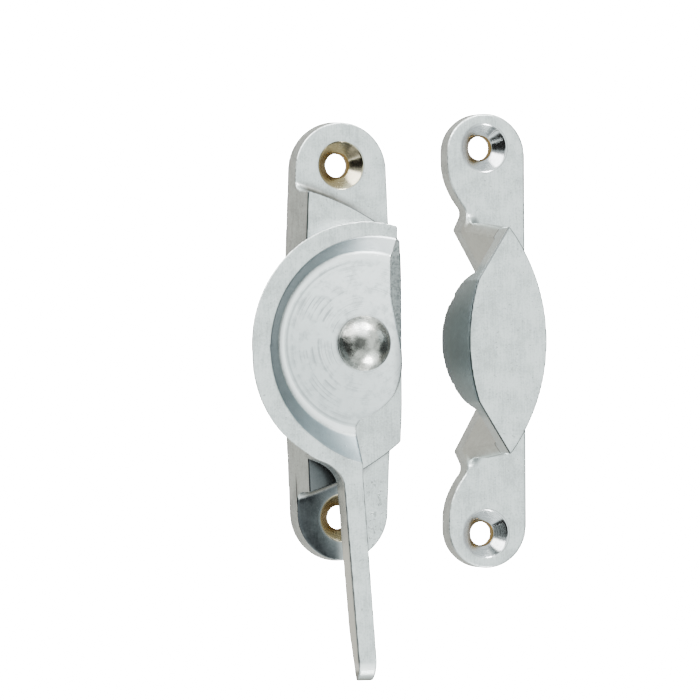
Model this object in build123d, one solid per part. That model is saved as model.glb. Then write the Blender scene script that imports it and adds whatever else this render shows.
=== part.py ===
from build123d import *
import os

# Crescent (Fitch pattern) sash fastener: a lever on a screwed base, and a hooked keep.
# Millimetres. X runs from the base to the keep, Y along both plates, +Z out of the plates.
# The origin is the centre of the base plate's underside, which rests on the meeting rail.

# ---- shared castings ----
plate_t = 3.3            # thickness of the screwed lobes of both castings
screw_hole_r = 2.0       # clearance hole for a No. 6 countersunk screw

# ---- base casting ----
base_length = 69.2
base_end_r = 7.8
base_mid_half_width = 8.5
base_draft = 0.4         # the sides lean in by this much on their way up to the pedestal's top
base_straight_y = 10.0   # the sides taper from here to the round ends
base_screw_y = 27.7
base_sink_r = 3.8
pedestal_top = 8.6
pedestal_ends = [(-10.5, 24.2), (-1.6, 21.55), (10.5, 13.4)]   # a slanting curve, further along on the left
pedestal_foot_r = 2.0
recess_r = 6.5           # round pocket underneath, for the spring and the rivet's tail
recess_depth = 6.4

# ---- lever ----
pivot = (0.6, -0.3)
lever_under = 9.15
floor_top = 11.1
rim_top = 14.0
dish_floor_r = 14.0      # flat floor, round the pivot
rim_in_r = 17.6
rim_in_centre = (1.9, -1.2)   # the rim is a little eccentric to the pivot
rim_out_r = 19.8
rim_out_centre = (0.6, -0.95)
bowl_under_r = 16.6
floor_fillet = 0.9
cut_x = 5.35             # straight open side of the dish, facing the keep
blade_under = 10.6
blade_tip_y = -52.9
blade_nose_y = -49.6     # the nose is rounded down from here to the tip

# ---- rivet and washers ----
shank_r = 2.4
running_gap = 0.08
head_r = 4.3
head_edge = 0.6
head_height = 2.9
tail_r = 3.6
tail_edge = 0.3
tail_height = 1.3
head_gap = 0.15
washer_r = 5.6
washer_t = 0.4
tail_washer_r = 4.9
tail_washer_t = 0.8
spring_rise = 1.2
spring_t = 0.5

# ---- keep casting ----
keep_right = 31.3
keep_left = 17.85
keep_half_length = 36.1
keep_screw = (24.35, 30.65)
keep_sink_r = 3.87
roof_top = 22.1
roof_under = 18.8
roof_tip = (20.75, 17.8)
roof_left_corner = (15.5, 9.5)
roof_left_x = 13.96
roof_right_x = 27.05
notch_corner = (20.1, 17.6)   # outer corner of the V-shaped notch that the lever's rim turns in
notch_slope = 0.565           # how far the notch's walls run in for each millimetre along
notch_back_x = 24.6
notch_lean = (-0.6, -1.5)     # from that corner to the same corner under the roof
end_wall_y = 19.6             # foot of the two end walls
tongue_low = 11.45
tongue_r = 11.47              # the hook's lower edge is an arc
tongue_lean = 0.45
tongue_back_x = 17.4
rim_sweep_r = 23.5
sweep_gap = 0.35


def mirrored(points):
    """The same points on the other side of the X axis, in reverse order."""
    return [(x, -y) for x, y in reversed(points)]


def up(shape, z):
    return shape.moved(Location((0, 0, z)))


def screw_hole(x, y, sink_r):
    """A clearance hole with a 90 degree countersink in a lobe's face."""
    depth = sink_r - screw_hole_r
    hole = Pos(x, y, plate_t / 2) * Cylinder(screw_hole_r, plate_t + 2)
    cone = Pos(x, y, plate_t - depth / 2) * Cone(screw_hole_r, sink_r, depth)
    return hole + cone + Pos(x, y, plate_t + 0.5) * Cylinder(sink_r, 1)


# ---- base ----
def base_outline():
    end_y = base_length / 2 - base_end_r
    right = [(base_end_r, end_y), (base_mid_half_width, base_straight_y),
             (base_mid_half_width, -base_straight_y), (base_end_r, -end_y)]
    left = [(-x, -y) for x, y in right]
    edges = [Line(a, b) for a, b in zip(right, right[1:])]
    edges += [Line(a, b) for a, b in zip(left, left[1:])]
    edges.append(ThreePointArc(right[-1], (0, -base_length / 2), left[0]))
    edges.append(ThreePointArc(left[-1], (0, base_length / 2), right[0]))
    return make_face(edges)


def pedestal():
    """The raised middle, ended by a slanting curve that reaches further on the left."""
    left, mid, right = pedestal_ends
    low_left, low_mid, low_right = (left[0], -left[1]), (mid[0], -mid[1]), (right[0], -right[1])
    outline = make_face([ThreePointArc(left, mid, right), Line(right, low_right),
                         ThreePointArc(low_right, low_mid, low_left), Line(low_left, left)])
    return extrude(outline & base_outline(), pedestal_top)


def base_casting():
    body = extrude(base_outline(), plate_t) + pedestal()
    width, top_width = 2 * base_mid_half_width, 2 * (base_mid_half_width - base_draft)
    body &= loft([Rectangle(width, 80), up(Rectangle(top_width, 80), pedestal_top)])
    feet = [e for e in body.edges().filter_by(GeomType.CIRCLE)
            if abs(e.center().Z - plate_t) < 0.01 and abs(e.center().Y) < 25]
    body = fillet(feet, pedestal_foot_r)
    body -= Pos(*pivot, recess_depth / 2) * Cylinder(recess_r, recess_depth)
    body -= Pos(*pivot, 5) * Cylinder(shank_r + running_gap, 10)
    for y in (base_screw_y, -base_screw_y):
        body -= screw_hole(0, y, base_sink_r)
    return body


# ---- lever ----
def between(a, b, share):
    return tuple(p + (q - p) * share for p, q in zip(a, b))


def disc(centre, r, z):
    return Pos(centre[0], centre[1], z) * Circle(r)


def dish_hollow():
    """The dish's hollow: a flat floor round the pivot, widening to the eccentric rim."""
    over = 1.2
    top = disc(between(pivot, rim_in_centre, over), dish_floor_r + (rim_in_r - dish_floor_r) * over,
               floor_top + (rim_top - floor_top) * over)
    hollow = loft([disc(pivot, dish_floor_r, floor_top), top])
    return fillet(hollow.edges().group_by(Axis.Z)[0], floor_fillet)


def bowl():
    under = disc(between(pivot, rim_out_centre, 0.5), bowl_under_r, lever_under)
    return loft([under, disc(rim_out_centre, rim_out_r, rim_top)])


def crescent_outline():
    """Plan of the bowl that is left: cut straight on the right, with a bulge round the rivet."""
    bulge_top, bulge, corner_top = (cut_x, 4.6), (6.8, 0.4), (7.2, -4.2)
    corner, scallop_start, scallop, scallop_end = (6.7, -7.4), (5.4, -8.9), (2.9, -11.0), (0.5, -12.2)
    inner_corner, stem_top, stem = (-0.4, -12.9), (-0.6, -14.1), (-0.6, -24)
    far = 30
    return make_face([
        Line((cut_x, far), bulge_top),
        ThreePointArc(bulge_top, bulge, corner_top),
        ThreePointArc(corner_top, corner, scallop_start),
        ThreePointArc(scallop_start, scallop, scallop_end),
        ThreePointArc(scallop_end, inner_corner, stem_top),
        Line(stem_top, stem), Line(stem, (-5.0, -21.5)),
        Line((-5.0, -21.5), (-15.2, -13.65)), Line((-15.2, -13.65), (-far, 0)),
        Line((-far, 0), (-far, far)), Line((-far, far), (cut_x, far))])


def blade():
    """The handle: a straight bar flush with the rim, with a wedge where it leaves the rim."""
    plan = make_face([
        Line((-0.6, -14.5), (-0.55, -21.5)), Line((-0.55, -21.5), (1.45, -48.6)),
        Line((1.45, -48.6), (1.25, blade_tip_y)), Line((1.25, blade_tip_y), (-1.3, blade_tip_y)),
        Line((-1.3, blade_tip_y), (-3.6, -25.0)),
        ThreePointArc((-3.6, -25.0), (-4.0, -23.1), (-5.6, -21.0)),
        Line((-5.6, -21.0), (-9.5, -18.0)), Line((-9.5, -18.0), (-0.6, -14.5))])
    nose_low = blade_under + 1.3
    side = make_face([
        Line((0, -10, rim_top), (0, blade_nose_y, rim_top)),
        ThreePointArc((0, blade_nose_y, rim_top), (0, blade_tip_y + 1.0, rim_top - 0.7), (0, blade_tip_y, nose_low)),
        Line((0, blade_tip_y, nose_low), (0, -45, blade_under)),
        Line((0, -45, blade_under), (0, -10, blade_under)),
        Line((0, -10, blade_under), (0, -10, rim_top))])
    bar = extrude(up(plan, lever_under), rim_top - lever_under)
    profile = extrude(side, 30, dir=(1, 0, 0), both=True)
    return bar & profile


def crescent_lever():
    shell = bowl() & extrude(up(crescent_outline(), lever_under - 1), rim_top)
    lever = shell + blade() - dish_hollow()
    lever -= Pos(*pivot, 10) * Cylinder(shank_r + running_gap, 10)
    return lever


# ---- rivet and washers ----
def washer_stack():
    """Heights of what lies under the pedestal, from the recess's roof down."""
    spring_top = recess_depth
    washer_top = spring_top - spring_rise
    tail_top = washer_top - tail_washer_t
    return spring_top, washer_top, tail_top


def dome(edge_r, edge_height, height):
    """A domed disc standing on z = 0: a short straight edge under a spherical cap."""
    cap = height - edge_height
    sphere_r = (edge_r ** 2 + cap ** 2) / (2 * cap)
    blank = Pos(0, 0, height / 2) * Cylinder(edge_r, height)
    return blank & Pos(0, 0, height - sphere_r) * Sphere(sphere_r)


def pivot_rivet():
    """One solid: domed head, shank, and the tail peened over the lower washer."""
    tail_top = washer_stack()[2]
    head_under = floor_top + head_gap
    shank_length = head_under - tail_top
    rivet = Pos(0, 0, tail_top + shank_length / 2) * Cylinder(shank_r, shank_length)
    rivet += Pos(0, 0, head_under) * dome(head_r, head_edge, head_height)
    rivet += Pos(0, 0, tail_top) * Rot(180, 0, 0) * dome(tail_r, tail_edge, tail_height)
    return Pos(*pivot, 0) * rivet


def ring(outer_r, z_low, thickness):
    flat = Circle(outer_r) - Circle(shank_r + running_gap)
    return Pos(*pivot, z_low) * extrude(flat, thickness)


def spring_washer():
    """A conical spring washer, its wide end up against the recess's roof."""
    low = washer_stack()[1]
    inner, outer = shank_r + running_gap, tail_washer_r
    profile = make_face([
        Line((inner, 0, low), (inner, 0, low + spring_t)),
        Line((inner, 0, low + spring_t), (outer, 0, low + spring_rise)),
        Line((outer, 0, low + spring_rise), (outer, 0, low + spring_rise - spring_t)),
        Line((outer, 0, low + spring_rise - spring_t), (inner, 0, low))])
    return Pos(*pivot, 0) * revolve(profile, Axis.Z)


# ---- keep ----
def keep_outline():
    """Plate with two lobes and, on the left, a V-shaped notch open to the base."""
    mid_x = (keep_left + keep_right) / 2
    end_r = keep_right - mid_x
    end_y = keep_half_length - end_r
    notch_y = notch_corner[1] - (notch_back_x - notch_corner[0]) / notch_slope
    half = [Line((keep_right, 0), (keep_right, end_y)),
            ThreePointArc((keep_right, end_y), (mid_x, keep_half_length), (keep_left, end_y)),
            ThreePointArc((keep_left, end_y), (18.3, 26.1), (21.0, 21.0)),
            ThreePointArc((21.0, 21.0), (21.2, 20.4), (21.0, 19.5)),
            Line((21.0, 19.5), notch_corner), Line(notch_corner, (notch_back_x, notch_y)),
            Line((notch_back_x, notch_y), (notch_back_x, 0))]
    return make_face(half + [e.mirror(Plane.XZ) for e in half])


def roof_outline():
    tip, corner = roof_tip, roof_left_corner
    low_tip, low_corner = (tip[0], -tip[1]), (corner[0], -corner[1])
    return make_face([Line(tip, corner), ThreePointArc(corner, (roof_left_x, 0), low_corner),
                      Line(low_corner, low_tip), ThreePointArc(low_tip, (roof_right_x, 0), tip)])


def keep_block():
    """The upright part behind the notch: leaning end walls, and the roof's own curve on the right."""
    notch_y = notch_corner[1] - (notch_back_x - notch_corner[0]) / notch_slope
    lean_x, lean_y = notch_lean
    top_corner = (notch_corner[0] + lean_x, notch_corner[1] + lean_y)
    top_notch_y = top_corner[1] - (notch_back_x - top_corner[0]) / notch_slope
    wide = keep_right + 1
    low = [notch_corner, (22.3, end_wall_y), (wide, end_wall_y)]
    high = [top_corner, roof_tip, (wide, roof_tip[1])]
    low_face = up(make_face(Polyline(*([(notch_back_x, notch_y)] + low), *mirrored([(notch_back_x, notch_y)] + low),
                                     close=True)), 0)
    high_face = up(make_face(Polyline(*([(notch_back_x, top_notch_y)] + high),
                                      *mirrored([(notch_back_x, top_notch_y)] + high), close=True)), roof_under)
    block = loft([low_face, high_face], ruled=True)
    tip, low_tip = (roof_tip[0], roof_tip[1] + 2), (roof_tip[0], -roof_tip[1] - 2)
    right = make_face([ThreePointArc(low_tip, (roof_right_x, 0), tip), Line(tip, (10, tip[1])),
                       Line((10, tip[1]), (10, low_tip[1])), Line((10, low_tip[1]), low_tip)])
    return block & extrude(right, roof_top)


def tongue():
    """The hook: it hangs from the roof's left edge into the lever's dish."""
    corner, low_corner = roof_left_corner, (roof_left_corner[0], -roof_left_corner[1])
    flare = (roof_tip[0] - corner[0]) / (roof_tip[1] - corner[1])
    wide_y = corner[1] + (tongue_back_x - corner[0]) / flare

    def crescent(shift, z):
        front = [(x - shift, y) for x, y in (corner, (roof_left_x, 0), low_corner)]
        back, low_back = (tongue_back_x, wide_y), (tongue_back_x, -wide_y)
        return up(make_face([ThreePointArc(*front), Line(front[2], low_back),
                             Line(low_back, back), Line(back, front[0])]), z)

    body = loft([crescent(tongue_lean, tongue_low), crescent(0, roof_top)])
    rounded = Pos(18, 0, tongue_low + tongue_r) * Rot(0, 90, 0) * Cylinder(tongue_r, 20)
    return (body & rounded) - rim_sweep()


def rim_sweep():
    """The space that the lever's rim turns in, with room to spare."""
    eccentric = ((rim_in_centre[0] - pivot[0]) ** 2 + (rim_in_centre[1] - pivot[1]) ** 2) ** 0.5
    wall_foot = (dish_floor_r - sweep_gap, floor_top - 0.05)
    wall_top = (rim_in_r - eccentric - sweep_gap, rim_top + sweep_gap)
    outline = [(wall_foot[0], lever_under - 1), wall_foot, wall_top,
               (rim_sweep_r, wall_top[1]), (rim_sweep_r, lever_under - 1)]
    profile = make_face(Plane.XZ * Polyline(*outline, close=True))
    return Pos(*pivot, 0) * revolve(profile, Axis.Z)


def keep_casting():
    body = extrude(keep_outline(), plate_t) + keep_block()
    body += extrude(up(roof_outline(), roof_under), roof_top - roof_under)
    body += tongue()
    for y in (keep_screw[1], -keep_screw[1]):
        body -= screw_hole(keep_screw[0], y, keep_sink_r)
    return body


spring_top, washer_top, tail_top = washer_stack()
pieces = {
    "base_casting": base_casting(),
    "crescent_lever": crescent_lever(),
    "pivot_rivet": pivot_rivet(),
    "thrust_washer": ring(washer_r, pedestal_top, washer_t),
    "spring_washer": spring_washer(),
    "tail_washer": ring(tail_washer_r, tail_top, tail_washer_t),
    "keep_casting": keep_casting(),
}

os.makedirs("parts", exist_ok=True)
for name, piece in pieces.items():
    export_step(piece, f"parts/{name}.step")
    print(name, round(piece.volume, 1), "mm3")
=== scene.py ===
import math
import random
import bmesh
import bpy
from mathutils import Matrix, Vector


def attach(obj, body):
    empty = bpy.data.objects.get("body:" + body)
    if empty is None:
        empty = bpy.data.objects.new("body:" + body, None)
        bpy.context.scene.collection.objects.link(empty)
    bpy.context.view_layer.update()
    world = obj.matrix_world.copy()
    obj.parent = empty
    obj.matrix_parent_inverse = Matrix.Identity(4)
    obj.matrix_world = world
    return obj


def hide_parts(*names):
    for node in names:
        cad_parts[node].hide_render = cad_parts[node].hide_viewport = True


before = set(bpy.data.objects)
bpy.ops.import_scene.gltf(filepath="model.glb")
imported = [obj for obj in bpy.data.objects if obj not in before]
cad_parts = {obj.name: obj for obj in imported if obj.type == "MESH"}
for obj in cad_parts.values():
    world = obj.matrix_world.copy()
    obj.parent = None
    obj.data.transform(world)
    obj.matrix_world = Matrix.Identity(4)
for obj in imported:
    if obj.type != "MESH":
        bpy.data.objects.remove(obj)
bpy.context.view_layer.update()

mm = 0.001
print("frame loaded:", ", ".join(sorted(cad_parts)))


# one value in a node tree; a sum written with it adds Math nodes
class Val:
    def __init__(self, socket):
        self.socket = socket
        self.tree = socket.id_data

    def math(self, operation, *others):
        sockets = {i: v for i, v in enumerate((self,) + others)}
        return node(self.tree, "ShaderNodeMath", {"operation": operation}, sockets)

    def __add__(self, other):
        return self.math("ADD", other)

    def __radd__(self, other):
        return self.math("ADD", other)

    def __sub__(self, other):
        return self.math("SUBTRACT", other)

    def __rsub__(self, other):
        return flip(self).math("ADD", other)

    def __mul__(self, other):
        return self.math("MULTIPLY", other)

    def __rmul__(self, other):
        return self.math("MULTIPLY", other)

    def __truediv__(self, other):
        return self.math("DIVIDE", other)

    def __neg__(self):
        return flip(self)


def node(tree, kind, settings=None, sockets=None, out=0):
    made = tree.nodes.new(kind)
    for name, value in (settings or {}).items():
        setattr(made, name, value)
    for name, value in (sockets or {}).items():
        if isinstance(value, Val):
            tree.links.new(value.socket, made.inputs[name])
        else:
            made.inputs[name].default_value = value
    return Val(made.outputs[out])


def flip(v):
    return v.math("MULTIPLY", -1)


def split(vector):
    return [node(vector.tree, "ShaderNodeSeparateXYZ", None, {0: vector}, i) for i in range(3)]


def millimetres(place):
    return node(place.tree, "ShaderNodeVectorMath", {"operation": "SCALE"}, {0: place, "Scale": 1000.0})


def length(a, b):
    return (a * a + b * b).math("SQRT")


def least(a, b):
    return a.math("MINIMUM", b)


def most(a, b):
    return a.math("MAXIMUM", b)


def clamp(a, low, high):
    return least(most(a, low), high)


# distances are negative inside the metal; cut keeps what two shapes share and rounds the edge to radius r
def cut(a, b, r):
    return least(most(a, b), -r) + length(most(a + r, 0), most(b + r, 0))


# join adds two shapes and fills the hollow corner to radius r
def join(a, b, r):
    return most(least(a, b), r) - length(most(r - a, 0), most(r - b, 0))


# centre x, centre y and radius of the circle through three points
def circleThrough(a, b, c):
    ax, ay, bx, by, cx, cy = *a, *b, *c
    d = 2 * (ax * (by - cy) + bx * (cy - ay) + cx * (ay - by))
    aa, bb, cc = ax * ax + ay * ay, bx * bx + by * by, cx * cx + cy * cy
    x = (aa * (by - cy) + bb * (cy - ay) + cc * (ay - by)) / d
    y = (aa * (cx - bx) + bb * (ax - cx) + cc * (bx - ax)) / d
    return x, y, math.hypot(ax - x, ay - y)


def round2d(x, y, circle):
    return length(x - circle[0], y - circle[1]) - circle[2]


# positive on the right-hand side of the way from a to b
def rightOf(x, y, a, b):
    dx, dy = b[0] - a[0], b[1] - a[1]
    size = math.hypot(dx, dy)
    return (x - a[0]) * (dy / size) - (y - a[1]) * (dx / size)


# a distance rule sampled on a grid and turned into a mesh
def casting(name, lowest, highest, sizes, rule, material, gridStep):
    tree = bpy.data.node_groups.new(name, "GeometryNodeTree")
    tree.is_modifier = True
    keys = {}
    for label, value in sizes.items():
        entry = tree.interface.new_socket(label, in_out="INPUT", socket_type="NodeSocketFloat")
        keys[label] = (entry.identifier, value)
    tree.interface.new_socket("Geometry", in_out="OUTPUT", socket_type="NodeSocketGeometry")
    given = tree.nodes.new("NodeGroupInput")
    size = {label: Val(given.outputs[label]) for label in sizes}
    distance = rule(size, *split(millimetres(node(tree, "GeometryNodeInputPosition"))))
    margin = Vector((1, 1, 1)) * 3 * gridStep
    low = Vector(lowest) * mm - margin
    high = Vector(highest) * mm + margin
    counts = [round((b - a) / gridStep) for a, b in zip(low, high)]
    volume = node(tree, "GeometryNodeVolumeCube", None, {
        "Density": -distance, "Background": -5.0, "Min": low, "Max": high,
        "Resolution X": counts[0], "Resolution Y": counts[1], "Resolution Z": counts[2]})
    skin = node(tree, "GeometryNodeVolumeToMesh", {"resolution_mode": "GRID"},
                {"Volume": volume, "Threshold": 0.0, "Adaptivity": 0.0})
    smooth = node(tree, "GeometryNodeSetShadeSmooth", None, {"Geometry": skin})
    whole = node(tree, "GeometryNodeRealizeInstances", None, {"Geometry": smooth})
    done = node(tree, "GeometryNodeSetMaterial", None, {"Geometry": whole, "Material": material})
    result = tree.nodes.new("NodeGroupOutput")
    tree.links.new(done.socket, result.inputs["Geometry"])
    carrier = bpy.data.objects.new(name + "Carrier", bpy.data.meshes.new(name + "Start"))
    bpy.context.scene.collection.objects.link(carrier)
    modifier = carrier.modifiers.new("rule", "NODES")
    modifier.node_group = tree
    for identifier, value in keys.values():
        modifier[identifier] = value
    view = bpy.context.evaluated_depsgraph_get()
    mesh = bpy.data.meshes.new_from_object(carrier.evaluated_get(view))
    bpy.data.objects.remove(carrier)
    piece = bpy.data.objects.new(name, mesh)
    bpy.context.scene.collection.objects.link(piece)
    print(name, "made:", len(mesh.polygons), "faces")
    return piece


baseSizes = {
    "Lobe Thickness": 3.3, "Pedestal Top": 8.6, "End Radius": 7.8, "End Centre": 26.8,
    "Side Flare": 0.7, "Side Draft": 0.047, "Hole Radius": 1.85, "Sink Radius": 3.8, "Screw Place": 27.7,
    "Edge Round": 0.2, "Foot Round": 2.0}
pocket = {"Radius": 6.5, "Top": 6.4}
pivotPlace = (0.6, -0.3)
boreRadius = 2.48
bottomRound = 0.15
holeRound = 0.12
pedestalEnd = circleThrough((-10.5, 24.2), (-1.6, 21.55), (10.5, 13.4))


# a bore with a countersink of 90 degrees, open at the lobe's top face
def screwHole(x, y, z, size):
    out = length(x, y)
    cone = (out - (z + (size["Sink Radius"] - size["Lobe Thickness"]))) * math.sqrt(0.5)
    return least(out - size["Hole Radius"], most(cone, out - size["Sink Radius"]))


def fromPivot(x, y):
    return length(x - pivotPlace[0], y - pivotPlace[1])


def baseRule(size, x, y, z):
    along = y.math("ABSOLUTE")
    flare = clamp((size["End Centre"] - along) / 16.8, 0, 1) * size["Side Flare"]
    outline = length(x, most(along - size["End Centre"], 0)) - size["End Radius"] - flare
    outline = outline + z * size["Side Draft"]
    raised = cut(round2d(x, along, pedestalEnd), z - size["Pedestal Top"], size["Edge Round"])
    top = join(z - size["Lobe Thickness"], raised, size["Foot Round"])
    body = cut(outline, top, size["Edge Round"])
    body = cut(body, -z, bottomRound)
    body = cut(body, -screwHole(x, along - size["Screw Place"], z, size), holeRound)
    pivot = fromPivot(x, y)
    hollow = most(pivot - pocket["Radius"], z - pocket["Top"])
    return most(body, -least(hollow, pivot - boreRadius))


leverSizes = {
    "Under": 9.15, "Floor": 11.1, "Rim Top": 14.0, "Floor Radius": 14.0, "Bowl Under Radius": 16.6,
    "Open Side": 5.35, "Blade Under": 10.6, "Nose Start": -49.85, "Nose Round": 3.3,
    "Edge Round": 0.2, "Floor Round": 0.5}
hubBulge = circleThrough((5.35, 4.6), (6.8, 0.4), (7.2, -4.2))
scallop = circleThrough((5.4, -8.9), (2.9, -11.0), (0.5, -12.2))
# the rim is drawn with two arcs on each side: centre x, centre y, radius
rimOutside = {"far": (0.08, -0.38, 19.14), "near": (-1.47, -2.17, 17.53)}
rimInside = {"far": (1.53, -0.99, 17.34), "near": (4.31, 0.6, 20.27)}


# a round wall that climbs from a circle about the pivot to one arc of the rim
def leaningWall(x, y, climb, lowR, arc, slope):
    middleX = climb * (arc[0] - pivotPlace[0]) + pivotPlace[0]
    middleY = climb * (arc[1] - pivotPlace[1]) + pivotPlace[1]
    return (length(x - middleX, y - middleY) - lowR - (arc[2] - lowR) * climb) * slope


def leverPlan(size, x, y):
    chord = rightOf(x, y, (-15.2, -13.65), (-5.0, -21.5))
    rim = least(round2d(x, y, rimOutside["far"]), round2d(x, y, rimOutside["near"]))
    bladeLeft = rightOf(x, y, (-3.6, -25.0), (-1.3, -52.9))
    bladeRight = rightOf(x, y, (1.45, -48.6), (-0.55, -21.5))
    bladeRight = most(bladeRight, rightOf(x, y, (1.5, -52.9), (1.55, -48.6)))
    leftSide = join(cut(chord, rim, 0.6), most(bladeLeft, y + 15), 3.0)
    openSide = join(x - size["Open Side"], round2d(x, y, hubBulge), 1.5)
    hub = cut(openSide, least(round2d(x, y, scallop), -4 - y), 1.2)
    rightSide = join(hub, least(x + 0.6, bladeRight), 1.0)
    return cut(leftSide, rightSide, 0.4)


def leverRule(size, x, y, z):
    edge = size["Edge Round"]
    # the dish is hollowed down to its floor, inside a wall that leans outwards
    rise = (z - size["Floor"]) / (size["Rim Top"] - size["Floor"])
    wall = least(leaningWall(x, y, rise, size["Floor Radius"], rimInside["far"], 0.66),
                 most(leaningWall(x, y, rise, size["Floor Radius"], rimInside["near"], 0.6), y + 0.6))
    hollow = cut(wall, size["Floor"] - z, size["Floor Round"])
    # the bowl's outside leans too, and the handle's nose is rounded downwards
    climb = (z - size["Under"]) / (size["Rim Top"] - size["Under"])
    bowl = least(leaningWall(x, y, climb, size["Bowl Under Radius"], rimOutside["far"], 0.85),
                 leaningWall(x, y, climb, size["Bowl Under Radius"], rimOutside["near"], 0.9))
    drop = most(z - size["Rim Top"] + size["Nose Round"], 0)
    top = length(least(y - size["Nose Start"], 0), drop) - size["Nose Round"]
    solid = cut(leverPlan(size, x, y), top, edge)
    bladeUnder = size["Blade Under"] + most(-45 - y, 0) * 0.165 - z
    stem = most(bladeUnder, most(y + 17.5, -10 - x))
    solid = cut(solid, least(most(bowl, size["Under"] - z), stem), edge)
    solid = cut(solid, -hollow, 0.16)
    return most(solid, boreRadius - fromPivot(x, y))


keepSizes = {
    "Lobe Thickness": 3.3, "Roof Top": 22.1, "Roof Under": 18.8, "Right Side": 31.3, "Lobe Middle": 24.575,
    "Lobe Radius": 6.725, "Lobe Centre": 29.375, "Notch Back": 24.6, "Hook Low": 11.45, "Hook Round": 11.47,
    "Hook Lean": 0.45, "Hook Back": 17.4, "Hole Radius": 1.85, "Sink Radius": 3.87, "Edge Round": 0.2,
    "Foot Round": 2.3}
keepScrew = (24.35, 30.65)
roofCorner, roofTip = (15.5, 9.5), (20.75, 17.8)
lobeNeck = circleThrough((17.85, 29.4), (18.3, 26.1), (21.0, 21.0))
roofRight = circleThrough((20.75, 17.8), (27.05, 0), (20.75, -17.8))
blockRight = circleThrough((20.75, 19.8), (27.05, 0), (20.75, -19.8))
hookFront = circleThrough((15.5, 9.5), (13.96, 0), (15.5, -9.5))


# the block's end wall and the facet beside it lean inwards; share is the height over the roof's underside
def blockEnd(x, along, share):
    cornerX = 20.1 - share * 0.6
    cornerY = 17.6 - share * 1.5
    endWall = along - 19.6 + share * 1.8
    facet = (x - cornerX) * (-0.673 - share * 0.133) + (along - cornerY) * (0.740 - share * 0.148)
    return cornerX, cornerY, endWall, facet


def keepRule(size, x, y, z):
    edge = size["Edge Round"]
    along = y.math("ABSOLUTE")
    cornerX, cornerY, endWall, facet = blockEnd(x, along, z / size["Roof Under"])
    # the outline seen from above: two lobes, their necks and the notch between
    notch = (cornerX + (cornerY - along) * 0.565 - x) * 0.8706
    notch = least(notch, size["Notch Back"] - x)
    lobe = length(x - size["Lobe Middle"], most(along - size["Lobe Centre"], 0)) - size["Lobe Radius"]
    lobe = cut(cut(lobe, round2d(x, along, lobeNeck), 0.5), 19.8 - along, 0.3)
    beside = rightOf(x, along, (21.0, 19.5), (20.1, 17.6))
    waist = most(most(notch, beside), along - 21.2)
    outline = most(join(lobe, waist, 0.9), x - size["Right Side"])

    # the block that carries the roof
    block = cut(cut(endWall, facet, 0.5), round2d(x, y, blockRight), edge)
    block = most(block, z - size["Roof Under"] - 0.15)
    top = join(z - size["Lobe Thickness"], block, size["Foot Round"])
    lower = cut(outline, top, 0.2)

    # the lens-shaped roof
    tipLine = rightOf(x, along, roofTip, roofCorner)
    front = least(round2d(x, y, hookFront), roofCorner[1] - along)
    lens = cut(most(tipLine, front), round2d(x, y, roofRight), 0.2)
    roof = cut(lens, most(z - size["Roof Top"], size["Roof Under"] - z), 0.16)

    # the hook below it, cleared where the lever's rim sweeps through
    lean = (size["Roof Top"] - z) / 10.65 * size["Hook Lean"]
    face = length(x + lean - hookFront[0], y - hookFront[1]) - hookFront[2]
    face = most(least(face, roofCorner[1] - along), rightOf(x + lean, along, roofTip, roofCorner))
    lowEdge = length(y, least(z - size["Hook Low"] - size["Hook Round"], 0)) - size["Hook Round"]
    hook = most(cut(face, lowEdge, 0.16), most(x - size["Hook Back"], z - size["Roof Top"] + 0.5))
    reach = clamp((z - 11.05) * 0.612, 0, 2.02) + 13.65
    sweep = cut(reach - fromPivot(x, y), z - 14.35, 0.3)
    hook = cut(hook, -sweep, 0.15)

    body = least(least(lower, roof), hook)
    body = cut(body, -z, bottomRound)
    return cut(body, -screwHole(x - keepScrew[0], along - keepScrew[1], z, size), holeRound)


# the rivet is a turned profile whose head is flattened here and there by hammer blows
rivetLook = {"headUnder": 11.25, "headR": 4.3, "headEdge": 0.6, "headHeight": 2.9, "headLip": 0.15,
             "shankR": 2.4, "tailTop": 4.4, "tailR": 3.6, "tailEdge": 0.3, "tailHeight": 1.3,
             "steps": 120, "headRows": 30, "tailRows": 8,
             "blows": 34, "deepest": 0.09, "widest": math.radians(58), "flatness": 0.9, "seed": 4}


def capProfile(edgeR, low, high, rows):
    rise = high - low
    ballR = (edgeR * edgeR + rise * rise) / (2 * rise)
    widest = math.atan2(edgeR, ballR - rise)
    turns = [widest * (1 - i / rows) for i in range(rows + 1)]
    return [(ballR * math.sin(t), high - ballR + ballR * math.cos(t)) for t in turns], ballR


def hammered(look, ballR):
    dice = random.Random(look["seed"])
    blows = []
    for i in range(look["blows"]):
        lean = look["widest"] * math.sqrt(dice.random())
        way = dice.uniform(0, 2 * math.pi)
        normal = Vector((math.sin(lean) * math.cos(way), math.sin(lean) * math.sin(way), math.cos(lean)))
        blows.append((normal, ballR - dice.uniform(0.2, 1.0) * look["deepest"]))
    return blows


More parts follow.
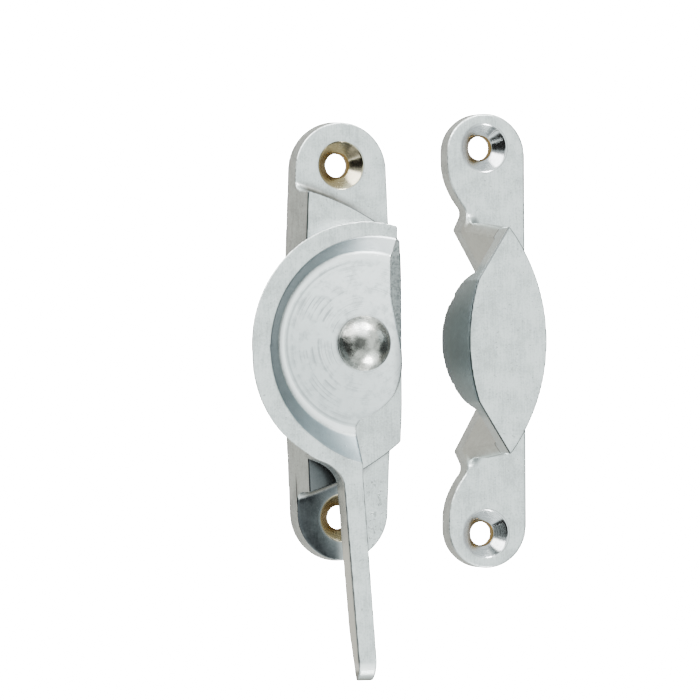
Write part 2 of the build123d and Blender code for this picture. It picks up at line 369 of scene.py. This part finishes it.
def rivet(name, look, material):
    headTop = look["headUnder"] + look["headHeight"]
    headFoot = look["headUnder"] + look["headEdge"]
    headCap, ballR = capProfile(look["headR"], headFoot, headTop, look["headRows"])
    tailCap = capProfile(look["tailR"], 0, look["tailHeight"] - look["tailEdge"], look["tailRows"])[0]
    tail = [(r, look["tailTop"] - look["tailEdge"] - rise) for r, rise in reversed(tailCap)]
    profile = tail + [(look["tailR"], look["tailTop"]), (look["shankR"], look["tailTop"]),
                      (look["shankR"], look["headUnder"]),
                      (look["headR"] - look["headLip"], look["headUnder"]),
                      (look["headR"], look["headUnder"] + look["headLip"])] + headCap
    blows = hammered(look, ballR)
    middle = Vector((0, 0, headTop - ballR))
    shape = bmesh.new()
    rings = []
    for i in range(look["steps"]):
        turn = 2 * math.pi * i / look["steps"]
        ring = []
        for r, z in profile:
            point = Vector((r * math.cos(turn), r * math.sin(turn), z))
            if z > headFoot + 0.05:
                for normal, reach in blows:
                    over = (point - middle).dot(normal) - reach
                    point -= normal * max(0.0, over) * look["flatness"]
            place = point + Vector((pivotPlace[0], pivotPlace[1], 0))
            ring.append(shape.verts.new(place * mm))
        rings.append(ring)
    for i in range(look["steps"]):
        here, after = rings[i], rings[(i + 1) % look["steps"]]
        for j in range(len(profile) - 1):
            shape.faces.new((here[j], after[j], after[j + 1], here[j + 1]))
    bmesh.ops.remove_doubles(shape, verts=shape.verts, dist=0.00001)
    bmesh.ops.recalc_face_normals(shape, faces=shape.faces)
    mesh = bpy.data.meshes.new(name)
    shape.to_mesh(mesh)
    shape.free()
    mesh.materials.append(material)
    mesh.polygons.foreach_set("use_smooth", [True] * len(mesh.polygons))
    piece = bpy.data.objects.new(name, mesh)
    bpy.context.scene.collection.objects.link(piece)
    return piece


print("rules written")


def materialTree(name):
    material = bpy.data.materials.new(name)
    material.use_nodes = True
    tree = material.node_tree
    tree.nodes.clear()
    return material, tree


def objectPlace(tree):
    return millimetres(node(tree, "ShaderNodeTexCoord", None, None, 3))


def noiseAt(place, scale, detail=3.0, roughness=0.5):
    return node(place.tree, "ShaderNodeTexNoise", {"noise_dimensions": "3D"},
                {"Vector": place, "Scale": scale, "Detail": detail, "Roughness": roughness})


# noise that changes only with the distance from a centre, as turning marks do
def turnedNoise(out, scale, detail):
    return node(out.tree, "ShaderNodeTexNoise", {"noise_dimensions": "1D"},
                {"W": out, "Scale": scale, "Detail": detail})


# 0 below low, 1 above high; falls is the other way round
def rises(value, low, high):
    return node(value.tree, "ShaderNodeMapRange", {"interpolation_type": "SMOOTHSTEP"},
                {0: value, 1: low, 2: high})


def falls(value, low, high):
    return 1 - rises(value, low, high)


def blend(share, a, b):
    return node(share.tree, "ShaderNodeMix", {"data_type": "RGBA"}, {0: share, 6: a, 7: b}, 2)


def paint(look, share, tint):
    look["colour"] = blend(share, look["colour"], tint)


def bumpFrom(height, strength, distance):
    return node(height.tree, "ShaderNodeBump", None,
                {"Strength": strength, "Distance": distance, "Height": height})


def shade(tree, base, rough, bump, metal=1.0):
    shader = tree.nodes.new("ShaderNodeBsdfPrincipled")
    shader.inputs["Metallic"].default_value = metal
    for name, value in (("Base Color", base), ("Roughness", rough), ("Normal", bump)):
        if isinstance(value, Val):
            tree.links.new(value.socket, shader.inputs[name])
        elif value is not None:
            shader.inputs[name].default_value = value
    output = tree.nodes.new("ShaderNodeOutputMaterial")
    tree.links.new(shader.outputs[0], output.inputs[0])
    return shader


# satin's tones, pits, underside and brass; the last two colours are a painted edge highlight and painted edge
# shade
satin = {"light": (0.635, 0.665, 0.658, 1), "dark": (0.40, 0.422, 0.418, 1), "rough": 0.34,
         "brass": (0.328, 0.226, 0.086, 1), "pitAndRimShade": (0.203, 0.211, 0.211, 1), "under": (0.156, 0.16, 0.156, 1),
         "paintedEdgeHighlight": (0.97, 0.98, 0.97, 1), "paintedEdgeShade": (0.055, 0.062, 0.065, 1)}


# polishing lines along the length, soft clouds, a fine grain, a few pits and a dull cast underside
def satinChrome(name, extra):
    material, tree = materialTree(name)
    place = objectPlace(tree)
    x, y, z = split(place)
    drawn = node(tree, "ShaderNodeVectorMath", {"operation": "MULTIPLY"}, {0: place, 1: (4.0, 0.22, 1.0)})
    lines = noiseAt(drawn, 1.3, 4.0, 0.6)
    cloud = noiseAt(place, 0.3, 4.0, 0.6)
    grain = noiseAt(place, 3.4, 3.0, 0.75)
    speck = rises(noiseAt(place, 2.1, 1.0, 0.4), 0.70, 0.77)
    tone = rises(cloud * 0.4 + lines * 0.25 + grain * 0.35, 0.36, 0.60)
    across, upward, facing = split(node(tree, "ShaderNodeNewGeometry", None, None, 1))
    look = {"place": place, "x": x, "y": y, "z": z, "along": y.math("ABSOLUTE"),
            "across": across, "upward": upward, "facing": facing,
            "colour": blend(tone, satin["dark"], satin["light"]),
            "rough": satin["rough"] + (lines - 0.5) * 0.16 + (cloud - 0.5) * 0.16 + (grain - 0.5) * 0.12,
            "height": lines * 0.5 + grain * 0.8 - speck * 1.6}
    paint(look, speck * 0.5, satin["pitAndRimShade"])
    extra(look)
    under = rises(-facing, 0.45, 0.75)
    paint(look, under, satin["under"])
    rough = clamp(look["rough"] + under * 0.2, 0.06, 0.8)
    shade(tree, look["colour"], rough, bumpFrom(look["height"], 0.45, 0.00002))
    return material


# painted highlight and painted shade on the thin line where a top face turns over its edge: a painted
# highlight towards the upper left, painted shade elsewhere
def paintEdgeHighlightAndShade(look, top, bright, dark, everywhere=0.0, where=1.0):
    z = look["z"]
    line = rises(z, top - 0.32, top - 0.16) * falls(look["facing"], 0.90, 0.98)
    line = line * falls(z, top + 0.02, top + 0.1) * where
    towards = look["upward"] * 0.65 - look["across"] * 0.75
    broken = rises(noiseAt(look["place"], 1.6, 2.0, 0.6), 0.35, 0.6)
    paint(look, line * rises(towards, 0.2, 0.55) * broken * bright, satin["paintedEdgeHighlight"])
    paint(look, line * most(falls(towards, -0.35, 0.05), everywhere) * dark, satin["paintedEdgeShade"])


# turned screw seats with brass round the bore; right of bareFrom the bare ring is wider
def countersinks(look, sink):
    radius, z = sink["radius"], look["z"]
    fromX = look["x"] - sink["middle"][0]
    fromY = look["along"] - sink["middle"][1]
    out = length(fromX, fromY)
    seat = falls(out, radius - 0.02, radius + 0.08) * rises(z, 0.02, 0.05)
    rings = turnedNoise(out, 9.0, 3.0)
    chatter = noiseAt(look["place"], 3.0, 2.0, 0.5)
    dimmed = [part * 0.7 for part in sink["colour"][:3]] + [1]
    paint(look, seat, blend(rises(rings * 0.6 + chatter * 0.4, 0.38, 0.62), dimmed, sink["colour"]))
    bare = rises(fromX, sink["bareFrom"], sink["bareFrom"] + 0.8)
    paint(look, seat * falls(out, bare * 0.1 + 1.86, bare * 0.12 + 1.94), satin["brass"])
    # painted shade: the ring round the seat's top edge is darkened towards its right
    rim = rises(out, radius, radius + 0.06) * falls(out, radius + 0.14, radius + 0.24) * rises(z, 3.1, 3.2)
    paint(look, rim * rises(fromX * 0.8 - fromY * 0.3, 0.2, 1.6) * 0.55, satin["pitAndRimShade"])
    leftHalf = falls(fromX, -3.4, -1.7)
    seatRough = rings * 0.16 + leftHalf * sink["dull"] + sink["shine"]
    look["rough"] = look["rough"] * (1 - seat) + seat * seatRough
    look["height"] = look["height"] * (1 - seat) + seat * (rings * 0.8 + chatter * 0.3)


# colours of painted shade on the base, and of its screw seat
baseFinishAndPaintedShade = {
    "foot": (0.045, 0.041, 0.032, 1), "paintedLeverShadow": (0.012, 0.015, 0.02, 1),
    "paintedLeverShadowNearHole": (0.075, 0.085, 0.09, 1), "paintedShelfShadow": (0.047, 0.051, 0.056, 1),
    "paintedStripShade": (0.117, 0.128, 0.129, 1),
    "sink": {"middle": (0.0, baseSizes["Screw Place"]), "radius": baseSizes["Sink Radius"],
             "colour": (0.484, 0.429, 0.312, 1), "shine": 0.08, "dull": 0.05, "bareFrom": -9.0}}


def baseLook(look):
    x, y, z, along, place = look["x"], look["y"], look["z"], look["along"], look["place"]
    beyond = round2d(x, along, pedestalEnd)
    # painted highlights and painted shade along the lobes' edges, and painted shade along the pedestal's top
    # edge
    paintEdgeHighlightAndShade(look, baseSizes["Lobe Thickness"], bright=0.85, dark=0.35, where=rises(beyond, 0.4, 1.0))
    paintEdgeHighlightAndShade(look, baseSizes["Pedestal Top"], bright=0.0, dark=0.95, everywhere=1.0)

    # painted shade in the foot of the pedestal's ends
    foot = rises(beyond, -0.5, 0.1) * falls(beyond, 0.7, 2.4) * falls(x, 0.5, 6.0)
    foot = foot * rises(x, -8.0, -5.5) * falls(z, 8.35, 8.5)
    paint(look, foot * 0.93, baseFinishAndPaintedShade["foot"])

    # painted shadow of the lever: the lower lobe is darkened on its left, where the lever lies over it, and
    # so is the shelf above
    hidden = falls(x, -1.5, 1.5) * falls(y, -22.5, -20.0) * rises(z, 3.12, 3.28) * falls(z, 3.4, 3.7)
    ringOut = length(x, y + baseSizes["Screw Place"])
    paintedLeverShadow = blend(rises(ringOut, 3.8, 6.5), baseFinishAndPaintedShade["paintedLeverShadowNearHole"], baseFinishAndPaintedShade["paintedLeverShadow"])
    soft = noiseAt(place, 0.8, 3.0, 0.6) * 0.12
    paint(look, hidden * (0.98 - soft), paintedLeverShadow)
    paintedShelfShadow = falls(y, -17.0, -16.0) * falls(x, -1.0, 1.5) * rises(z, 8.45, 8.56)
    paint(look, paintedShelfShadow * 0.9, baseFinishAndPaintedShade["paintedShelfShadow"])

    # painted shadow of the lever on a strip of the pedestal's top, speckled by noise, and pocks at the lower
    # right
    paintedStripShade = rises(x, 4.9, 5.6) * rises(z, 8.3, 8.5) * rises(y, -6.0, -3.0) * falls(y, 15.5, 17.0)
    speckle = rises(noiseAt(place, 2.4, 3.0, 0.7), 0.40, 0.66)
    paint(look, paintedStripShade * (speckle * 0.3 + 0.68), baseFinishAndPaintedShade["paintedStripShade"])
    pocks = rises(noiseAt(place, 1.2, 2.0, 0.6), 0.58, 0.66) * rises(x, 3.0, 5.0) * falls(y, -24.0, -19.0)
    look["height"] = look["height"] - pocks * 6.0
    paint(look, pocks * 0.5, satin["pitAndRimShade"])
    countersinks(look, baseFinishAndPaintedShade["sink"])


# the lever's colours: painted light and painted shade, and its real smudges and turning marks
leverFinishAndPaintedLight = {
    "paintedFlankLight": (0.86, 0.85, 0.79, 1), "nose": (0.24, 0.25, 0.245, 1), "noseLine": (0.96, 0.97, 0.96, 1),
    "paintedFloorShade": (0.58, 0.61, 0.615, 1), "paintedFloorLight": (0.93, 0.945, 0.95, 1),
    "smudge": (0.39, 0.413, 0.421, 1), "marks": (0.328, 0.351, 0.359, 1), "hairs": (0.328, 0.343, 0.351, 1),
    "paintedGrooveShade": (0.234, 0.257, 0.265, 1), "paintedFloorEdgeHighlight": (0.95, 0.96, 0.96, 1),
    "paintedWallShade": (0.187, 0.226, 0.246, 1), "paintedWallLight": (0.663, 0.686, 0.694, 1),
    "paintedHubEdgeShade": (0.218, 0.234, 0.234, 1)}


def leverLook(look):
    x, y, z, place = look["x"], look["y"], look["z"], look["place"]
    fromX, fromY = x - pivotPlace[0], y - pivotPlace[1]
    out = length(fromX, fromY)

    # the handle: painted highlights and shade on its edges, painted light on its flank, painted shade on its
    # rounded nose and a painted highlight band above it
    handle = falls(y, -24.0, -21.0)
    paintEdgeHighlightAndShade(look, leverSizes["Rim Top"], bright=(1 - handle) * 0.85, dark=0.6, everywhere=handle * 0.9)
    paintedFlankLight = handle * falls(z, 13.4, 13.7) * rises(-look["across"], 0.5, 0.8)
    paint(look, paintedFlankLight * 0.9, leverFinishAndPaintedLight["paintedFlankLight"])
    paint(look, falls(y, -51.6, -51.0) * 0.8, leverFinishAndPaintedLight["nose"])
    paint(look, rises(y, -51.2, -50.8) * falls(y, -50.4, -49.8) * 0.8, leverFinishAndPaintedLight["noseLine"])

    # the dish's floor: painted light makes it lighter to the upper right; it is smudged, with turning marks
    # mostly on the left, a painted shade line for a groove on the left and a painted highlight at its edge
    inDish = rises(z, 11.0, 11.05) * falls(out, 18.4, 18.9)
    onFloor = inDish * falls(z, 11.15, 11.4)
    rings = turnedNoise(out, 1.8, 5.0)
    fine = turnedNoise(out, 6.0, 3.0)
    towardsLight = rises(fromX * 0.5 + fromY * 0.6, -10.0, 8.0)
    paint(look, onFloor * 0.85, blend(towardsLight, leverFinishAndPaintedLight["paintedFloorShade"], leverFinishAndPaintedLight["paintedFloorLight"]))
    smudge = rises(noiseAt(place, 0.55, 4.0, 0.65), 0.45, 0.66)
    paint(look, onFloor * smudge * 0.5, leverFinishAndPaintedLight["smudge"])
    leftwards = rises(-fromX, -2.0, 6.0)
    patchy = rises(noiseAt(place, 0.28, 3.0, 0.6), 0.42, 0.58)
    marks = onFloor * leftwards * patchy * rises(rings, 0.50, 0.62)
    paint(look, marks * 0.75, leverFinishAndPaintedLight["marks"])
    hairs = onFloor * patchy * rises(fine, 0.55, 0.65)
    paint(look, hairs * 0.42, leverFinishAndPaintedLight["hairs"])
    paintedGrooveShade = rises(out, 12.5, 12.65) * falls(out, 12.8, 12.95) * leftwards
    paint(look, onFloor * paintedGrooveShade * 0.5, leverFinishAndPaintedLight["paintedGrooveShade"])
    paint(look, onFloor * rises(out, 13.05, 13.3) * 0.9, leverFinishAndPaintedLight["paintedFloorEdgeHighlight"])

    # painted shade on the dish's wall, with painted light at the upper right, and painted shade on the
    # floor's edge at the hub
    onWall = inDish * rises(z, 11.35, 11.6) * falls(z, 13.85, 13.95) * rises(out, 13.2, 13.5)
    wallLight = rises(fromX * 0.6 + fromY * 0.8, 10.0, 15.5)
    paint(look, onWall * 0.88, blend(wallLight, leverFinishAndPaintedLight["paintedWallShade"], leverFinishAndPaintedLight["paintedWallLight"]))
    paint(look, onFloor * rises(x, 5.2, 7.0) * 0.7, leverFinishAndPaintedLight["paintedHubEdgeShade"])
    look["height"] = look["height"] + marks * 0.8 + onFloor * patchy * fine * 0.5


# the keep's colours: painted light and painted shade on the block and hook, and its screw seat
keepFinishAndPaintedLight = {
    "endWall": (0.655, 0.686, 0.686, 1), "facet": (0.60, 0.59, 0.54, 1), "paintedCreaseShade": (0.187, 0.195, 0.187, 1),
    "roofSide": (0.624, 0.679, 0.694, 1),
    "hookMiddleShade": (0.19, 0.235, 0.25, 1), "hookEndsShade": (0.37, 0.425, 0.44, 1),
    "sink": {"middle": keepScrew, "radius": keepSizes["Sink Radius"],
             "colour": (0.62, 0.63, 0.64, 1), "shine": 0.06, "dull": 0.34, "bareFrom": -1.0}}


def keepLook(look):
    x, z, along = look["x"], look["z"], look["along"]
    # painted highlights and painted shade along the lobes' edges
    paintEdgeHighlightAndShade(look, keepSizes["Lobe Thickness"], bright=0.85, dark=0.3, where=rises(along, 19.8, 20.6))

    # the block's left side: painted light on the end wall and facet, and painted shade in the creases between
    # them and under the roof
    endWall, outward = blockEnd(x, along, z / keepSizes["Roof Under"])[2:]
    nearer = endWall - outward
    raised = rises(z, 3.7, 4.3) * rises(along, 9.3, 9.8) * falls(look["across"], 0.0, 0.3)
    onEnd = raised * rises(nearer, -0.1, 0.1) * falls(z, 18.4, 18.6)
    paint(look, onEnd * 0.6, keepFinishAndPaintedLight["endWall"])
    facet = raised * falls(nearer, -0.1, 0.1) * rises(-look["across"], 0.2, 0.5)
    paint(look, facet * 0.5, keepFinishAndPaintedLight["facet"])
    corner = falls(nearer.math("ABSOLUTE"), 0.04, 0.22)
    paintedCreaseShade = raised * most(corner, rises(z, 18.2, 18.5)) * falls(z, 18.6, 18.85)
    paint(look, paintedCreaseShade * 0.75, keepFinishAndPaintedLight["paintedCreaseShade"])

    # the roof's side in a painted lighter tone, painted highlight and shade on its edge, then painted shade
    # on the hook's front, darkest in the middle
    roofSide = raised * rises(z, 18.6, 18.85) * falls(z, 21.8, 21.95)
    paint(look, roofSide * 0.75, keepFinishAndPaintedLight["roofSide"])
    paintEdgeHighlightAndShade(look, keepSizes["Roof Top"], bright=0.1, dark=0.95, everywhere=1.0)
    front = falls(x, 16.6, 17.3) * rises(z, 10.5, 11.0) * falls(z, 21.8, 22.0)
    deep = blend(rises(along, 2.5, 10.0), keepFinishAndPaintedLight["hookMiddleShade"], keepFinishAndPaintedLight["hookEndsShade"])
    paint(look, front * 0.88, deep)
    countersinks(look, keepFinishAndPaintedLight["sink"])


# hammered steel, bare and stained at random; painted reflections on the head, each a place, a radius and a
# colour: the light ones are painted highlights, the dark ones painted reflections of dark surroundings
rivetTones = {
    "bare": (0.359, 0.355, 0.328, 1), "stained": (0.156, 0.156, 0.144, 1),
    "scratched": (0.468, 0.46, 0.429, 1),
    "paintedReflections": [((-1.6, 0.0), 1.7, (0.03, 0.03, 0.028, 1)), ((-3.9, 0.2), 1.3, (0.08, 0.08, 0.075, 1)),
              ((3.6, 0.0), 1.2, (0.30, 0.295, 0.28, 1)), ((-1.0, 2.3), 1.7, (0.97, 0.96, 0.93, 1)),
              ((0.4, -2.5), 1.6, (0.92, 0.91, 0.86, 1))]}


def rivetFinish():
    material, tree = materialTree("rivetPolished")
    place = objectPlace(tree)
    x, y = split(place)[:2]
    stain = rises(noiseAt(place, 0.45, 4.0, 0.65), 0.42, 0.62)
    scratch = noiseAt(place, 5.0, 3.0, 0.7)
    colour = blend(stain, rivetTones["bare"], rivetTones["stained"])
    colour = blend(scratch * 0.3, colour, rivetTones["scratched"])
    # painted highlights and dark painted reflections on the head
    for middle, radius, tint in rivetTones["paintedReflections"]:
        away = length(x - middle[0] - pivotPlace[0], y - middle[1] - pivotPlace[1])
        paintedSpot = falls(away + (scratch - 0.5) * 1.2, radius * 0.3, radius)
        colour = blend(paintedSpot * 0.85, colour, tint)
    dents = noiseAt(place, 1.1, 3.0, 0.6)
    shade(tree, colour, scratch * 0.25 + 0.17, bumpFrom(dents + scratch * 0.25, 0.7, 0.0001))
    return material


# stamped or rolled sheet: washers and the spring
def sheetFinish(name, bright, dull, rough):
    material, tree = materialTree(name)
    place = objectPlace(tree)
    cloud = noiseAt(place, 0.6, 4.0, 0.6)
    grain = noiseAt(place, 4.0, 2.0, 0.5)
    colour = blend(rises(cloud, 0.35, 0.7), bright, dull)
    shade(tree, colour, cloud * 0.3 + rough, bumpFrom(grain, 0.3, 0.00003))
    return material


finishes = {
    "base": satinChrome("baseSatinChrome", baseLook),
    "lever": satinChrome("leverSatinChrome", leverLook),
    "keep": satinChrome("keepSatinChrome", keepLook),
    "rivet": rivetFinish(),
    "washer": sheetFinish("washerBrass", (0.72, 0.52, 0.24, 1), (0.48, 0.33, 0.15, 1), 0.2),
    "spring": sheetFinish("springSteel", (0.40, 0.41, 0.43, 1), (0.22, 0.22, 0.23, 1), 0.25),
}
print("finishes made")

pieces = {
    "baseCasting": (casting("baseCasting", (-8.6, -34.6, 0), (8.6, 34.6, 8.6), baseSizes, baseRule,
                            finishes["base"], 0.21 * mm), "base", "base_casting", "base_satin_chrome"),
    "crescentLever": (casting("crescentLever", (-19.3, -52.9, 9.15), (7.5, 19, 14), leverSizes, leverRule,
                              finishes["lever"], 0.21 * mm), "lever", "crescent_lever", "lever_satin_chrome"),
    "keepCasting": (casting("keepCasting", (13.4, -36.1, 0), (31.3, 36.1, 22.1), keepSizes, keepRule,
                            finishes["keep"], 0.235 * mm), "keep", "keep_casting", "keep_satin_chrome"),
    "peenedRivet": (rivet("peenedRivet", rivetLook, finishes["rivet"]),
                    "base", "pivot_rivet", "rivet_polished"),
}
for piece, body, cadNode, slot in pieces.values():
    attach(piece, body)
    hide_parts(cadNode)

# these keep the CAD's own mesh
for cadNode, finish in (("thrust_washer", "washer"), ("tail_washer", "washer"), ("spring_washer", "spring")):
    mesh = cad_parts[cadNode].data
    mesh.materials.clear()
    mesh.materials.append(finishes[finish])


# a white tent on a glowing floor: bright overhead and at both ends, darker at the sides and below
room = {"dark": (0.26, 0.29, 0.30, 1), "bright": (1.79, 1.97, 1.95, 1), "below": (0.68, 0.675, 0.615, 1),
        "strength": 1.28, "floorGlow": 24.0, "floorHalf": 1.5, "floorDrop": 0.0003,
        "blackCard": ((-0.86, -0.36, 0.35), 0.80, 0.88), "blackColour": (0.02, 0.02, 0.02, 1),
        "whiteCard": ((-0.58, 0.77, 0.28), 0.88, 0.95), "whiteColour": (9.0, 9.2, 9.2, 1)}


def studio():
    floorMesh = bpy.data.meshes.new("floor")
    half = room["floorHalf"]
    corners = [(-half, -half, 0), (half, -half, 0), (half, half, 0), (-half, half, 0)]
    floorMesh.from_pydata(corners, [], [(0, 1, 2, 3)])
    floor = bpy.data.objects.new("floor", floorMesh)
    floor.location.z = -room["floorDrop"]
    bpy.context.scene.collection.objects.link(floor)
    material, tree = materialTree("paleFloor")
    shader = shade(tree, (0.9, 0.9, 0.9, 1), 0.9, None, 0.0)
    shader.inputs["Emission Color"].default_value = (1, 1, 1, 1)
    shader.inputs["Emission Strength"].default_value = room["floorGlow"]
    floorMesh.materials.append(material)
    floor.visible_glossy = False


# each lamp has a direction and a power, and looks at the origin
softboxes = {"distance": 0.7, "size": (0.20, 0.14),
             "lamps": {"topEnd": ((0.30, 0.80, 0.50), 4.8), "lowEnd": ((0.30, -0.84, 0.42), 3.3)}}


def softbox(name, direction, power):
    light = bpy.data.lights.new(name, "AREA")
    light.shape = "RECTANGLE"
    light.size, light.size_y = softboxes["size"]
    light.energy = power
    lamp = bpy.data.objects.new(name, light)
    lamp.location = Vector(direction).normalized() * softboxes["distance"]
    lamp.rotation_euler = (-lamp.location).to_track_quat("-Z", "Y").to_euler()
    bpy.context.scene.collection.objects.link(lamp)


def card(direction, towards, outer, inner):
    facing = node(direction.tree, "ShaderNodeVectorMath", {"operation": "DOT_PRODUCT"},
                  {0: direction, 1: towards}, 1)
    return rises(facing, outer, inner)


def tent():
    world = bpy.data.worlds.new("studioWorld")
    world.use_nodes = True
    bpy.context.scene.world = world
    tree = world.node_tree
    tree.nodes.clear()
    direction = node(tree, "ShaderNodeTexCoord", None, None, 0)
    dy, dz = split(direction)[1:]
    ends = rises(dy.math("ABSOLUTE"), 0.35, 0.85)
    overhead = rises(dz, 0.25, 0.85)
    glow = blend(most(ends, overhead), room["dark"], room["bright"])
    glow = blend(falls(dz, -0.45, -0.05), glow, room["below"])
    glow = blend(card(direction, *room["blackCard"]), glow, room["blackColour"])
    glow = blend(card(direction, *room["whiteCard"]), glow, room["whiteColour"])
    back = tree.nodes.new("ShaderNodeBackground")
    tree.links.new(glow.socket, back.inputs[0])
    back.inputs[1].default_value = room["strength"]
    output = tree.nodes.new("ShaderNodeOutputWorld")
    tree.links.new(back.outputs[0], output.inputs[0])


studio()
tent()
for lampName, (direction, power) in softboxes["lamps"].items():
    softbox(lampName, direction, power)
print("stage and lamps set")

view = {"turn": math.radians(21), "roll": math.radians(0.3), "distance": 0.837, "lens": 272.6,
        "sensor": 36, "nearest": 0.05, "target": (0.0026, -0.00135, 0.0)}


# the camera leans to the left of straight down and rolls a little
def addCamera():
    camera = bpy.data.cameras.new("camera")
    camera.lens = view["lens"]
    camera.sensor_width = view["sensor"]
    camera.clip_start = view["nearest"]
    right = Vector((math.cos(view["turn"]), 0, math.sin(view["turn"])))
    back = Vector((-math.sin(view["turn"]), 0, math.cos(view["turn"])))
    up = Vector((0, 1, 0))
    rolledRight = right * math.cos(view["roll"]) - up * math.sin(view["roll"])
    rolledUp = up * math.cos(view["roll"]) + right * math.sin(view["roll"])
    turn = Matrix((rolledRight, rolledUp, back)).transposed().to_4x4()
    stand = bpy.data.objects.new("camera", camera)
    stand.matrix_world = Matrix.Translation(Vector(view["target"]) + back * view["distance"]) @ turn
    bpy.context.scene.collection.objects.link(stand)
    bpy.context.scene.camera = stand


addCamera()
